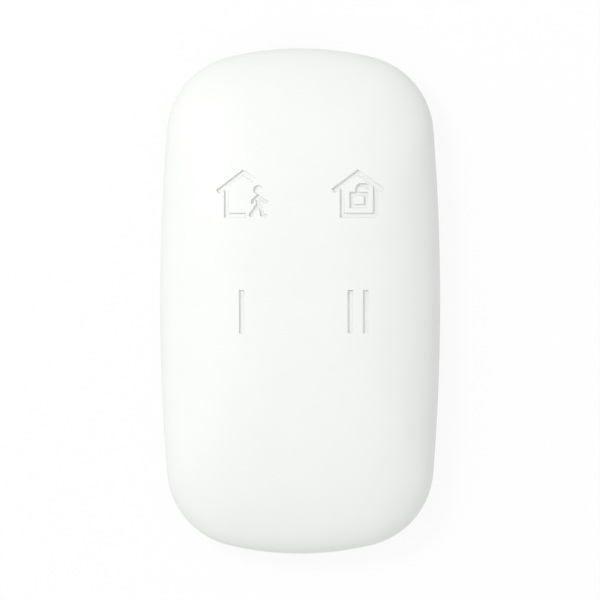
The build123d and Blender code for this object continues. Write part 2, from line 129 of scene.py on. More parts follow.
class Wiring:
    """The node tree of a material, a world or a group, being filled.

    Args:
        tree: That tree.
    """

    # Numbers of a Mix node's sockets for a kind of value: the factor and the two values, and the result.
    MIX = {"FLOAT": ((0, 2, 3), 0), "RGBA": ((0, 6, 7), 2)}

    def __init__(self, tree: Tree) -> None:
        """Keep the tree that the nodes go into."""
        self.tree = tree

    @classmethod
    def afresh(cls, owner: bpy.types.ID) -> "Wiring":
        """Clear the nodes of a material or a world.

        Args:
            owner: The material or world.

        Returns:
            The wiring of its empty tree.
        """
        owner.use_nodes = True
        owner.node_tree.nodes.clear()
        return cls(owner.node_tree)

    def add(self, kind: str, inputs: dict | None = None, **settings: object) -> bpy.types.Node:
        """Add a node.

        Args:
            kind: Blender's name of the node type.
            inputs: Values or sockets for its inputs, by name or number.
            **settings: Properties of the node.

        Returns:
            The new node.
        """
        node = self.tree.nodes.new(kind)
        for name, value in settings.items():
            setattr(node, name, value)
        for name, value in (inputs or {}).items():
            if isinstance(value, Socket):
                self.tree.links.new(value, node.inputs[name])
            else:
                node.inputs[name].default_value = value
        return node

    def maths(self, operation: str, *terms: object) -> Socket:
        """Add a Math node and return its value socket."""
        return self.add("ShaderNodeMath", dict(enumerate(terms)), operation=operation).outputs[0]

    def ramp(self, source: Socket, low: float, high: float, start: float = 0.0, end: float = 1.0) -> Socket:
        """Map a value from one range to another, held at its ends.

        Args:
            source: The value to map.
            low: Start of its range.
            high: End of its range.
            start: Result at low.
            end: Result at high.

        Returns:
            The mapped value's socket.
        """
        inputs = {"Value": source, "From Min": low, "From Max": high, "To Min": start, "To Max": end}
        return self.add("ShaderNodeMapRange", inputs, clamp=True).outputs["Result"]

    def mix(self, amount: Socket, first: object, second: object, kind: str = "RGBA") -> Socket:
        """Mix two colours, or two values of another kind, by a mask.

        Args:
            amount: The mask.
            first: What shows where it is 0.
            second: What shows where it is 1.
            kind: Blender's name of the kind of value.

        Returns:
            The result's socket.
        """
        numbers, result = self.MIX[kind]
        inputs = dict(zip(numbers, (amount, first, second)))
        return self.add("ShaderNodeMix", inputs, data_type=kind).outputs[result]

    def noise(self, where: Socket, scale: object, detail: float, **more: object) -> Socket:
        """Add a noise texture and return its value's socket."""
        inputs = {"Vector": where, "Scale": scale, "Detail": detail, **more}
        return self.add("ShaderNodeTexNoise", inputs).outputs[0]

    def objects(self) -> Socket:
        """Add the object's own coordinates."""
        return self.add("ShaderNodeTexCoord").outputs["Object"]


class EffectBox:
    """Builds each shared node group once and places it in materials."""

    SOCKETS = {
        Effect.GRAIN: (("Scale", "Stretch"), ("Height", "Mottle")),
        Effect.EDGE: (("Reach", "Break Up"), ("Mask",)),
        Effect.FILM: (("Size", "Amount"), ("Mask",)),
    }
    FINE_DETAIL = 3.0
    FINE_ROUGHNESS = 0.6
    SLOW_DETAIL = 2.0
    SLOW_SHARE = 0.03  # scale of the slow mottle, as a share of the fine grain's
    CONVEX = (0.52, 0.6)  # pointiness where rubbing starts, and where it is full
    PATCH_DETAIL = 4.0
    PATCHES = (0.4, 0.65)
    WARP_DETAIL = 1.0
    FILM_DETAIL = 3.0
    FILM_PATCHES = (0.35, 0.75)

    @classmethod
    def place(cls, wiring: Wiring, effect: Effect, **inputs: object) -> bpy.types.Node:
        """Place a group in a material.

        Args:
            wiring: The material's wiring.
            effect: Which group.
            **inputs: Values of its inputs, with their names.

        Returns:
            The group node.
        """
        tree = bpy.data.node_groups.get(effect.value) or cls.build(effect)
        node = wiring.add("ShaderNodeGroup", node_tree=tree)
        for name, value in inputs.items():
            node.inputs[name.replace("_", " ").title()].default_value = value
        return node

    @classmethod
    def build(cls, effect: Effect) -> Tree:
        """Build a group's tree, with its named number sockets.

        Args:
            effect: Which group.

        Returns:
            The group's tree.
        """
        tree = bpy.data.node_groups.new(effect.value, "ShaderNodeTree")
        for side, names in zip(("INPUT", "OUTPUT"), cls.SOCKETS[effect]):
            for name in names:
                tree.interface.new_socket(name, in_out=side, socket_type="NodeSocketFloat")
        makers = {Effect.GRAIN: cls.grain, Effect.EDGE: cls.edge, Effect.FILM: cls.film}
        makers[effect](Wiring(tree))
        return tree

    @classmethod
    def grain(cls, wiring: Wiring) -> None:
        """Fine moulded grain: a height and a slow mottle.

        Args:
            wiring: The group's wiring.
        """
        given = wiring.add("NodeGroupInput").outputs
        where = wiring.objects()
        pull = wiring.add("ShaderNodeCombineXYZ", {0: 1.0, 1: given["Stretch"], 2: 1.0})
        drawn = wiring.add("ShaderNodeVectorMath", {0: where, 1: pull.outputs[0]}, operation="MULTIPLY")
        fine = wiring.noise(drawn.outputs[0], given["Scale"], cls.FINE_DETAIL, Roughness=cls.FINE_ROUGHNESS)
        slow_scale = wiring.maths("MULTIPLY", given["Scale"], cls.SLOW_SHARE)
        slow = wiring.noise(where, slow_scale, cls.SLOW_DETAIL)
        wiring.add("NodeGroupOutput", {"Height": fine, "Mottle": slow})

    @classmethod
    def edge(cls, wiring: Wiring) -> None:
        """Rubbed edges: a mask that is 1 on convex edges, broken up by noise.

        Args:
            wiring: The group's wiring.
        """
        given = wiring.add("NodeGroupInput").outputs
        sharp = wiring.ramp(wiring.add("ShaderNodeNewGeometry").outputs["Pointiness"], *cls.CONVEX)
        noise = wiring.noise(wiring.objects(), given["Break Up"], cls.PATCH_DETAIL)
        broken = wiring.maths("MULTIPLY", sharp, wiring.ramp(noise, *cls.PATCHES))
        wiring.add("NodeGroupOutput", {"Mask": wiring.maths("MULTIPLY", broken, given["Reach"])})

    @classmethod
    def film(cls, wiring: Wiring) -> None:
        """Uneven polish left by fingers: a mask in soft patches.

        Args:
            wiring: The group's wiring.
        """
        given = wiring.add("NodeGroupInput").outputs
        where = wiring.objects()
        warp = wiring.noise(where, given["Size"], cls.WARP_DETAIL)
        patches = wiring.noise(where, given["Size"], cls.FILM_DETAIL, Distortion=warp)
        soft = wiring.ramp(patches, *cls.FILM_PATCHES)
        wiring.add("NodeGroupOutput", {"Mask": wiring.maths("MULTIPLY", soft, given["Amount"])})


@dataclass(frozen=True)
class Finish:
    """Look of one kind of material.

    Args:
        name: The material's name.
        colour: Linear colour.
        roughness: Mean roughness.
        metallic: 1 for bare metal.
        texture: How the surface is broken up.
        grain: Size of the finest grain.
        depth: Height of that grain.
        mottle: Share by which the colour wanders.
        worn: Strength of the rubbed edges.
        edge_round: Radius that the light sees on sharp edges.
        slot: The record's material slot that it would serve, where that has another name. Not used.
    """

    name: str
    colour: Triple
    roughness: float = 0.5
    metallic: float = 0.0
    texture: Texture = Texture.SATIN
    grain: float = 0.12
    depth: float = 0.004
    mottle: float = 0.03
    worn: float = 0.0
    edge_round: float = 0.0
    slot: str = ""

    BRUSH_STRETCH: ClassVar[float] = 0.04  # scale of brushed grain along its lines
    FILM_SIZE: ClassVar[float] = 90.0
    MOTTLE_RANGE: ClassVar[Pair] = (0.3, 0.7)
    HANDLED: ClassVar[Pair] = (1.06, 0.9)  # roughness shares, clean and handled
    WEAR_SCALE: ClassVar[float] = 700.0
    WEAR_GAIN: ClassVar[float] = 1.35
    WEAR_LIFT: ClassVar[float] = 0.03
    WEAR_POLISH: ClassVar[float] = 0.12
    BUMP_STRENGTH: ClassVar[float] = 0.6
    BEVEL_SAMPLES: ClassVar[int] = 4
    PEBBLE_SIZE: ClassVar[float] = 2.2  # in grains
    PEBBLE_SHARE: ClassVar[float] = 0.8
    RING_CENTRE: ClassVar[Triple] = (0.0, 0.017, 0.0)  # added to a point to measure from the cell
    RING_PITCH: ClassVar[float] = 8.0  # in grains
    RING_WANDER: ClassVar[float] = 0.4
    TRACK_SCALE: ClassVar[float] = 260.0
    TRACK_WIDTH: ClassVar[float] = 0.09
    TRACK_SHIFT: ClassVar[float] = 0.35
    TRACK_GREEN: ClassVar[Colour] = (0.03, 0.22, 0.09, 1.0)
    VIA_SCALE: ClassVar[float] = 420.0
    VIA_EDGE: ClassVar[Pair] = (0.1, 0.16)
    VIA_GOLD: ClassVar[Colour] = (0.5, 0.42, 0.2, 1.0)

    def shade(self, gain: float, lift: float = 0.0) -> Colour:
        """The colour made lighter or darker, at most white, with its alpha."""
        return tuple(min(1.0, channel * gain + lift) for channel in self.colour) + (1.0,)

    def material(self) -> bpy.types.Material:
        """Build the material, or return the one that already has its name.

        The frame's own plain materials count too. They carry the names of the record's slots, so a
        finish that is named like a slot isn't built, and the frame's material shows in its place.

        Returns:
            The material.
        """
        ready = bpy.data.materials.get(self.name)
        if ready:
            return ready
        material = bpy.data.materials.new(self.name)
        wiring = Wiring.afresh(material)
        stretch = self.BRUSH_STRETCH if self.texture is Texture.BRUSHED else 1.0
        grain = EffectBox.place(wiring, Effect.GRAIN, scale=1 / (self.grain * MM), stretch=stretch)
        film = EffectBox.place(wiring, Effect.FILM, size=self.FILM_SIZE, amount=1.0)
        wander = wiring.ramp(grain.outputs["Mottle"], *self.MOTTLE_RANGE)
        colour = wiring.mix(wander, self.shade(1 - self.mottle), self.shade(1 + self.mottle))
        height = grain.outputs["Height"]
        if self.texture is Texture.SPARK:
            height = self.sparks(wiring, height)
        if self.texture is Texture.TURNED:
            height = self.rings(wiring)
        if self.texture is Texture.LAMINATE:
            colour, height = self.tracks(wiring, colour)
        clean, handled = (self.roughness * share for share in self.HANDLED)
        rough = wiring.ramp(film.outputs["Mask"], 0.0, 1.0, clean, handled)
        if self.worn:
            edge = EffectBox.place(wiring, Effect.EDGE, reach=self.worn, break_up=self.WEAR_SCALE)
            mask = edge.outputs["Mask"]
            colour = wiring.mix(mask, colour, self.shade(self.WEAR_GAIN, self.WEAR_LIFT))
            rough = wiring.maths("SUBTRACT", rough, wiring.maths("MULTIPLY", mask, self.WEAR_POLISH))
        bump_inputs = {"Height": height, "Strength": self.BUMP_STRENGTH, "Distance": self.depth * MM}
        bump = wiring.add("ShaderNodeBump", bump_inputs)
        if self.edge_round:
            radius = {"Radius": self.edge_round * MM}
            soft = wiring.add("ShaderNodeBevel", radius, samples=self.BEVEL_SAMPLES)
            wiring.tree.links.new(soft.outputs[0], bump.inputs["Normal"])
        shader_inputs = {"Base Color": colour, "Roughness": rough, "Normal": bump.outputs[0]}
        shader = wiring.add("ShaderNodeBsdfPrincipled", shader_inputs)
        shader.inputs["Metallic"].default_value = self.metallic
        wiring.add("ShaderNodeOutputMaterial", {"Surface": shader.outputs[0]})
        return material

    def sparks(self, wiring: Wiring, fine: Socket) -> Socket:
        """Pebbled height of a spark-eroded mould.

        Args:
            wiring: The material's wiring.
            fine: The fine grain's height.

        Returns:
            The combined height's socket.
        """
        where = wiring.objects()
        scale = 1 / (self.grain * self.PEBBLE_SIZE * MM)
        cells = wiring.add("ShaderNodeTexVoronoi", {"Vector": where, "Scale": scale}, feature="SMOOTH_F1")
        return wiring.maths("MULTIPLY_ADD", cells.outputs["Distance"], self.PEBBLE_SHARE, fine)

    def rings(self, wiring: Wiring) -> Socket:
        """Height of turning marks round the coin cell's axis.

        Args:
            wiring: The material's wiring.

        Returns:
            The height's socket.
        """
        where = wiring.objects()
        shift = wiring.add("ShaderNodeVectorMath", {0: where, 1: self.RING_CENTRE}, operation="ADD")
        scale = 1 / (self.grain * self.RING_PITCH * MM)
        inputs = {"Vector": shift.outputs[0], "Scale": scale, "Distortion": self.RING_WANDER}
        wave = wiring.add("ShaderNodeTexWave", inputs, wave_type="RINGS", rings_direction="Z")
        return wave.outputs["Fac"]

    def tracks(self, wiring: Wiring, base: Socket) -> tuple[Socket, Socket]:
        """Copper tracks and vias seen through solder resist.

        Args:
            wiring: The material's wiring.
            base: Colour of the bare laminate.

        Returns:
            The colour's socket and the height's socket.
        """
        where = wiring.objects()
        inputs = {"Vector": where, "Scale": self.TRACK_SCALE, "Mortar Size": self.TRACK_WIDTH}
        lines = wiring.add("ShaderNodeTexBrick", inputs, offset=self.TRACK_SHIFT)
        dots = wiring.add("ShaderNodeTexVoronoi", {"Vector": where, "Scale": self.VIA_SCALE})
        via = wiring.ramp(dots.outputs["Distance"], *self.VIA_EDGE, 1.0, 0.0)
        lit = wiring.mix(lines.outputs["Fac"], base, self.TRACK_GREEN)
        return wiring.mix(via, lit, self.VIA_GOLD), wiring.maths("ADD", lines.outputs["Fac"], via)


# Only SOFT_SKIN and PIN_STEEL are built. The others have names that the frame's materials hold.
SOFT_SKIN = Finish(
    "soft_white_skin", (0.866, 0.881, 0.864), 0.52, grain=0.16, depth=0.003, mottle=0.006, slot="soft_skin",
)
FRAME_PLASTIC = Finish("frame_plastic", (0.62, 0.62, 0.6), 0.45, edge_round=0.1)
REAR_PLASTIC = Finish(
    "rear_plastic", (0.74, 0.745, 0.738), 0.5, texture=Texture.SPARK, depth=0.012, mottle=0.012,
    worn=0.3, edge_round=0.16,
)
PLUNGER_PLASTIC = Finish("plunger_plastic", (0.3, 0.3, 0.31), 0.4, edge_round=0.1)
STEM_PLASTIC = Finish("stem_plastic", (0.02, 0.02, 0.022), 0.35, edge_round=0.06)
SEAL_RUBBER = Finish("seal_rubber", (0.025, 0.025, 0.027), 0.7, depth=0.008)
LAMINATE = Finish("board_laminate", (0.015, 0.11, 0.045), 0.3, texture=Texture.LAMINATE, depth=0.03)
SWITCH_PLASTIC = Finish("switch_plastic", (0.03, 0.03, 0.032), 0.4, edge_round=0.08)
CHIP_PLASTIC = Finish("chip_plastic", (0.018, 0.018, 0.02), 0.55, texture=Texture.SPARK, depth=0.006)
CERAMIC = Finish("component_ceramic", (0.32, 0.24, 0.16), 0.4, mottle=0.12)
CAPACITOR = Finish("capacitor_yellow", (0.62, 0.38, 0.05), 0.45, mottle=0.05)
CELL_STEEL = Finish("cell_steel", (0.62, 0.62, 0.61), 0.26, 1.0, Texture.TURNED, depth=0.002)
CONTACT_METAL = Finish("contact_metal", (0.74, 0.66, 0.46), 0.28, 1.0, Texture.BRUSHED)
SHIELD_TIN = Finish("shield_tin", (0.66, 0.66, 0.64), 0.34, 1.0, Texture.BRUSHED, depth=0.002)
ANTENNA_COPPER = Finish("antenna_copper", (0.72, 0.4, 0.24), 0.3, 1.0, Texture.BRUSHED)
SCREW_STEEL = Finish("screw_steel", (0.5, 0.5, 0.5), 0.32, 1.0, worn=0.5)
PIN_STEEL = Finish(
    "pin_steel", (0.56, 0.56, 0.55), 0.24, 1.0, Texture.BRUSHED, depth=0.002, slot="screw_steel",
)


def rest_on(piece: Piece, body: str, finish: Finish, *stands_for: str) -> None:
    """Dress a new piece and tie it to its body.

    Args:
        piece: The new piece.
        body: The CAD body that it rides on, or nothing to leave it unattached.
        finish: Its finish.
        *stands_for: CAD nodes that it replaces.
    """
    piece.data.materials.append(finish.material())
    if body:
        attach(piece, body)
    if stands_for:
        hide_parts(*stands_for)
    LOG.info("%s: %d faces, on %s", piece.name, len(piece.data.polygons), body or "two bodies")


def dress(node: str, finish: Finish) -> None:
    """Give a CAD node its finish.

    Args:
        node: The node's name.
        finish: The finish.
    """
    for slot in frame["nodes"][node].material_slots:
        slot.material = finish.material()
    LOG.info("%s: %s", node, finish.name)


def segment_distance(points: Array, first: Array, second: Array) -> Array:
    """Measure how far each point is from a straight segment.

    Args:
        points: The points.
        first: One end of the segment.
        second: Its other end.

    Returns:
        The distances.
    """
    along = second - first
    share = np.clip((points - first) @ along / (along @ along), 0, 1)
    return np.linalg.norm(points - first - share[:, None] * along, axis=1)


def stroke(half_width: float, *path: Pair) -> Shape:
    """A round-ended stroke.

    Args:
        half_width: Half of its width.
        *path: The points that it runs through.

    Returns:
        A function that gives each point's distance outside the stroke, below zero inside.
    """
    ends = np.array(path)
    pairs = list(zip(ends[:-1], ends[1:]))
    return lambda points: np.min([segment_distance(points, a, b) for a, b in pairs], axis=0) - half_width


def plate(*corners: Pair) -> Shape:
    """A flat-edged form.

    Args:
        *corners: Its corners, in order.

    Returns:
        A function that gives each point's distance outside the form, below zero inside.
    """
    ring = np.array(corners)
    pairs = list(zip(ring, np.roll(ring, -1, axis=0)))

    def distance(points: Array) -> Array:
        """Measure how far outside the form each point is.

        Args:
            points: The points.

        Returns:
            The distances, below zero inside the form.
        """
        far = np.min([segment_distance(points, a, b) for a, b in pairs], axis=0)
        inside = np.zeros(len(points), bool)
        for a, b in pairs:
            spans = (a[1] > points[:, 1]) != (b[1] > points[:, 1])
            rise = b[1] - a[1] or 1.0
            inside ^= spans & (points[:, 0] < a[0] + (points[:, 1] - a[1]) / rise * (b[0] - a[0]))
        return np.where(inside, -far, far)

    return distance


def box(left: float, bottom: float, right: float, top: float) -> Shape:
    """An upright rectangle as a distance function."""
    return plate((left, bottom), (right, bottom), (right, top), (left, top))


def frame_of(outer: Shape, inner: Shape) -> Shape:
    """What is left of one form when another is taken out."""
    return lambda points: np.maximum(outer(points), -inner(points))


@dataclass(frozen=True)
class Sign:
    """A sunk pictogram on a key.

    Args:
        forms: Its strokes and plates, measured from the key's middle.
        depth: How deep it is sunk.
        wall: Width of the sloping wall of the groove.
        lip: How far the wall's rounding reaches outside the form.
        bend: Share of the wall that its upper and lower roundings take each.
    """

    forms: tuple[Shape, ...]
    depth: float = 0.54
    wall: float = 0.09
    lip: float = 0.03
    bend: float = 0.22

    def distance(self, points: Array) -> Array:
        """Distance from the nearest form, below zero inside one."""
        return np.min([form(points) for form in self.forms], axis=0)

    def sink(self, points: Array) -> Array:
        """Shape the groove.

        Args:
            points: Points on the key, from its middle.

        Returns:
            How far the surface is sunk at each point.
        """
        share = np.clip((self.lip - self.distance(points)) / self.wall, 0, 1)
        near = np.minimum(share, 1 - share)
        straight = (near - self.bend / 2) / (1 - self.bend)
        curved = near**2 / (2 * self.bend * (1 - self.bend))
        half = np.where(near < self.bend, curved, straight)
        return self.depth * np.where(share < 0.5, half, 1 - half)


SIGNS = {
    Key.AWAY: Sign((
        plate((-3.57, 0.59), (0.11, 3.41), (1.86, 2.24), (1.5, 1.7), (0.1, 2.6), (-3.17, 0.07)),
        plate((-2.47, 0.95), (-1.82, 1.43), (-1.82, -2.56), (0.53, -2.56), (0.53, -3.2), (-2.47, -3.2)),
        stroke(0.64, (2.21, 0.62), (2.22, 0.62)),
        stroke(0.3, (2.14, -0.35), (2.24, -1.34)),
        stroke(0.2, (2.02, -0.33), (1.48, -0.85), (1.42, -1.13)),
        stroke(0.2, (2.32, -0.38), (2.9, -0.85), (3.42, -1.02)),
        stroke(0.27, (2.22, -1.37), (1.23, -2.86)),
        stroke(0.24, (2.27, -1.37), (2.64, -2.07), (2.76, -2.85), (3.32, -2.98)),
    )),
    Key.DISARM: Sign((
        plate((-3.69, 0.75), (-0.08, 3.44), (3.5, 0.85), (3.11, 0.32), (-0.08, 2.64), (-3.3, 0.23)),
        plate(
            (-2.57, 1.22), (-1.92, 1.64), (-1.92, -2.56), (2.0, -2.56),
            (2.0, 1.78), (2.65, 1.29), (2.65, -3.2), (-2.57, -3.2),
        ),
        frame_of(box(-1.24, -1.89, 1.3, 0.32), box(-0.71, -1.34, 0.74, -0.16)),
        stroke(
            0.24, (-0.2, 0.2), (-0.2, 0.8), (-0.1, 1.07), (0.12, 1.23),
            (0.4, 1.28), (0.95, 1.28), (1.22, 1.16), (1.32, 0.92),
        ),
    )),
    Key.ONE: Sign((box(-0.39, -2.82, 0.31, 3.11),)),
    Key.TWO: Sign((box(-1.48, -2.82, -0.77, 3.11), box(0.64, -2.82, 1.36, 3.11))),
}


@dataclass
class Crown:
    """The fob's outline and the crowned face over it.

    Args:
        half_width: Half of the fob's width.
        half_length: Half of its length.
        side_radius: Radius of the long sides.
        end_radius: Radius of the ends.
        corner_radius: Radius of the corners.
        base: Height where the face stands upright at the rim.
        top: Height of the middle of the face.
        power: Power of the curve that the face follows from the middle to the rim.
        melt: How much the corners melt away towards the middle of the face, in radians.
        samples: Directions in which the outline's waves are measured.
        wave_end: Order at which the waves end.
        rounds: Rounds in which the share of a point settles.
        slope_step: Step over which the face's slope is measured.
        rim_samples: Directions in which the outline's length is measured.
    """

    half_width: float = 19.4
    half_length: float = 35.0
    side_radius: float = 300.0
    end_radius: float = 42.0
    corner_radius: float = 11.2
    base: float = 4.8
    top: float = 13.0
    power: int = 3
    melt: float = 0.17
    samples: int = 2048
    wave_end: int = 66
    rounds: int = 8
    slope_step: float = 0.002
    rim_samples: int = 7201

    def __post_init__(self) -> None:
        """Find the corner's centre and the outline's waves."""
        side_x = self.half_width - self.side_radius
        end_y = self.half_length - self.end_radius
        side_reach = self.side_radius - self.corner_radius
        end_reach = self.end_radius - self.corner_radius
        span = math.hypot(side_x, end_y)
        ux, uy = -side_x / span, end_y / span
        along = (side_reach**2 - end_reach**2 + span**2) / (2 * span)
        across = math.sqrt(side_reach**2 - along**2)
        self.corner = (side_x + along * ux - across * uy, along * uy + across * ux)
        turns = np.linspace(0, 2 * math.pi, self.samples, endpoint=False)
        waves = np.fft.rfft(self.rim_reach(turns)).real / len(turns)
        self.orders = np.arange(2, self.wave_end, 2)
        self.waves = 2 * waves[self.orders]

    def rim_reach(self, turns: Array) -> Array:
        """Measure how far the outline is from the middle.

        Args:
            turns: Directions.

        Returns:
            The distance in each direction.
        """
        ux, uy = np.abs(np.cos(turns)), np.abs(np.sin(turns))
        arcs = (
            (self.half_width - self.side_radius, 0.0, self.side_radius),
            (*self.corner, self.corner_radius),
            (0.0, self.half_length - self.end_radius, self.end_radius),
        )
        hits = []
        for ax, ay, radius in arcs:
            middle = ux * ax + uy * ay
            hits.append(middle + np.sqrt(np.maximum(middle**2 - ax**2 - ay**2 + radius**2, 0)))
        side_end, end_start = self.meeting(arcs[0]), self.meeting(arcs[2])
        angle = np.arctan2(uy, ux)
        return np.where(angle < side_end, hits[0], np.where(angle < end_start, hits[1], hits[2]))

    def meeting(self, arc: Triple) -> float:
        """Find where the corner's arc meets a longer arc.

        Args:
            arc: The longer arc's centre and radius.

        Returns:
            The direction of that point, seen from the middle.
        """
        (ax, ay, _), (cx, cy) = arc, self.corner
        share = self.corner_radius / math.hypot(cx - ax, cy - ay)
        return math.atan2(cy + (cy - ay) * share, cx + (cx - ax) * share)

    def reach(self, turns: Array, share: Array) -> Array:
        """Distance from the middle to the outline, its corners melted for an inner share of it.

        Args:
            turns: Directions.
            share: How far out each point is, from 0 in the middle to 1 at the rim.

        Returns:
            The distances.
        """
        blur = self.melt * (1 - np.clip(share, 0, 1) ** 2)
        fade = np.exp(-((self.orders[:, None] * blur[None]) ** 2) / 2) - 1
        waves = self.waves[:, None] * np.cos(self.orders[:, None] * turns[None]) * fade
        return self.rim_reach(turns) + waves.sum(axis=0)

    def share(self, points: Array) -> Array:
        """Measure how far out each point is.

        Args:
            points: The points.

        Returns:
            Their shares, from 0 in the middle to 1 at the rim.
        """
        length = np.linalg.norm(points, axis=1)
        turns = np.arctan2(points[:, 1], points[:, 0])
        share = np.clip(length / self.rim_reach(turns), 0, 1)
        for _ in range(self.rounds):
            share = length / self.reach(turns, share)
        return share

    def height(self, points: Array) -> Array:
        """Height of the face over each point."""
        climb = np.sqrt(np.maximum(1 - self.share(points) ** self.power, 0))
        return self.base + (self.top - self.base) * climb

    def normals(self, points: Array) -> Array:
        """Find the directions that the face looks in.

        Args:
            points: The points under it.

        Returns:
            The direction at each of them, level at the rim.
        """
        along_x, along_y = slopes(self.share, points, self.slope_step)
        share = np.clip(self.share(points), 0, 1)
        upward = 2 * np.sqrt(1 - share**self.power) / (self.top - self.base)
        fall = self.power * share ** (self.power - 1)
        return unit(np.stack((fall * along_x, fall * along_y, upward), axis=1))

    def rim(self, count: int) -> Array:
        """Divide the outline into equal steps.

        Args:
            count: How many.

        Returns:
            Directions of the steps, in radians.
        """
        turns = np.linspace(0, 2 * math.pi, self.rim_samples)
        reach = self.rim_reach(turns)
        line = np.stack((reach * np.cos(turns), reach * np.sin(turns)), axis=1)
        walked = np.concatenate(((0,), np.cumsum(np.linalg.norm(np.diff(line, axis=0), axis=1))))
        return np.interp(np.linspace(0, walked[-1], count, endpoint=False), walked, turns)


def unit(vectors: Array) -> Array:
    """The same directions at length 1."""
    return vectors / np.linalg.norm(vectors, axis=1)[:, None]


def slopes(form: Shape, points: Array, step: float) -> list[Array]:
    """Slopes of a function along x and y at each point, measured over a step."""
    shifts = (np.array((step, 0.0)), np.array((0.0, step)))
    return [(form(points + shift) - form(points - shift)) / (2 * step) for shift in shifts]


def make_piece(name: str, points: Array, faces: Faces, normals: Array | None = None) -> Piece:
    """Make a mesh object with smooth shading.

    Args:
        name: The piece's name.
        points: Its vertices.
        faces: Its faces, as vertex numbers.
        normals: Directions of its vertices, where they aren't left to Blender.

    Returns:
        The new object.
    """
    mesh = bpy.data.meshes.new(name)
    mesh.from_pydata((points * MM).tolist(), [], faces)
    mesh.validate()
    mesh.shade_smooth()
    if normals is not None:
        mesh.normals_split_custom_set_from_vertices(normals.tolist())
    piece = bpy.data.objects.new(name, mesh)
    bpy.context.scene.collection.objects.link(piece)
    return piece


def loose_edges(faces: Faces) -> list[tuple[int, int]]:
    """Find the edges that only one face uses.

    Args:
        faces: The faces.

    Returns:
        The edges, in that face's direction.
    """
    edges = {}
    for face in faces:
        for first, second in zip(face, (*face[1:], face[0])):
            if (second, first) in edges:
                del edges[(second, first)]
            else:
                edges[(first, second)] = True
    return list(edges)


def turned(faces: Faces, shift: int = 0) -> Faces:
    """The same faces looking the other way, their point numbers raised by a shift."""
    return [tuple(number + shift for number in reversed(face)) for face in faces]


def close_sheet(name: str, top: Array, under: Array, faces: Faces, aims: Sequence[Array]) -> Piece:
    """Join an upper and a lower sheet round their edges.

    Args:
        name: The piece's name.
        top: Points of the upper sheet.
        under: Points of the lower sheet, in the same order.
        faces: Faces of the upper sheet.
        aims: Directions that the light sees on the upper sheet, and on the lower.

    Returns:
        The closed piece.
    """
    count = len(top)
    walls = [(b, a, a + count, b + count) for a, b in loose_edges(faces)]
    every_face = [*faces, *turned(faces, count), *walls]
    return make_piece(name, np.concatenate((top, under)), every_face, np.concatenate(aims))


def bands(rings: Sequence[Array]) -> Faces:
    """Join each of some closed rings to the next.

    Args:
        rings: Point numbers of the rings, all of the same length.

    Returns:
        The faces between them.
    """
    faces = []
    for upper, lower in zip(rings[:-1], rings[1:]):
        corners = (upper, lower, np.roll(lower, -1), np.roll(upper, -1))
        faces += [tuple(map(int, face)) for face in zip(*corners)]
    return faces


def ring_numbers(first: int, steps: int, count: int) -> list[Array]:
    """Point numbers of a count of rings, one after another, each of the given steps."""
    return [np.arange(steps) + first + row * steps for row in range(count)]


def revolved(rows: Iterable[Pair], steps: int) -> list[Array]:
    """Turn points about the z axis.

    Args:
        rows: A radius and a height for each ring.
        steps: Points round a ring.

    Returns:
        The rings' points.
    """
    angles = np.arange(steps) * 2 * math.pi / steps
    circle = np.stack((np.cos(angles), np.sin(angles)), axis=1)
    return [np.column_stack((circle * radius, np.full(steps, level))) for radius, level in rows]


def find_points(wanted: Array, points: Array) -> Array:
    """Numbers of the points that lie at the wanted places."""
    return np.array([int(np.argmin(((points - place) ** 2).sum(axis=1))) for place in wanted])


def triangulate(loops: Sequence[Array], loose: Array) -> tuple[Array, Faces]:
    """Join loops and loose points into triangles.

    Args:
        loops: Closed outlines. The first is the border and the others are holes.
        loose: Points between them.

    Returns:
        All points and the triangles between the border and the holes.
    """
    edges, start = [], 0
    for loop in loops:
        count = len(loop)
        edges += [(start + i, start + (i + 1) % count) for i in range(count)]
        start += count
    points = np.concatenate([*loops, loose])
    flat = [Vector(point) for point in points.tolist()]
    found, _, faces, sources, *_ = delaunay_2d_cdt(flat, edges, [], INSIDE_ONLY, SAME_POINT)
    exact = np.array([
        points[source[0]] if source else tuple(place) for source, place in zip(sources, found)
    ])
    middles = np.array([exact[list(face)].mean(axis=0) for face in faces])
    keep = np.ones(len(faces), bool)
    for hole in loops[1:]:
        keep &= plate(*hole)(middles) > 0
    return exact, [tuple(face) for face, kept in zip(faces, keep) if kept]


def hex_grid(half_x: float, half_y: float, pitch: float) -> Array:
    """Spread staggered points over a rectangle about the origin.

    Args:
        half_x: Half of its width.
        half_y: Half of its length.
        pitch: Spacing of the points.

    Returns:
        The points.
    """
    rows = np.arange(-half_y, half_y, pitch * ROW_STEP)
    columns = np.arange(-half_x, half_x, pitch)
    return np.array([(x + pitch / 2 * (i % 2), y) for i, y in enumerate(rows) for x in columns])


def bend(piece: Piece, key: Key, start: Iterable[float], end: Iterable[float]) -> None:
    """Bake a piece's place into its mesh."""
    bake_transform(piece)


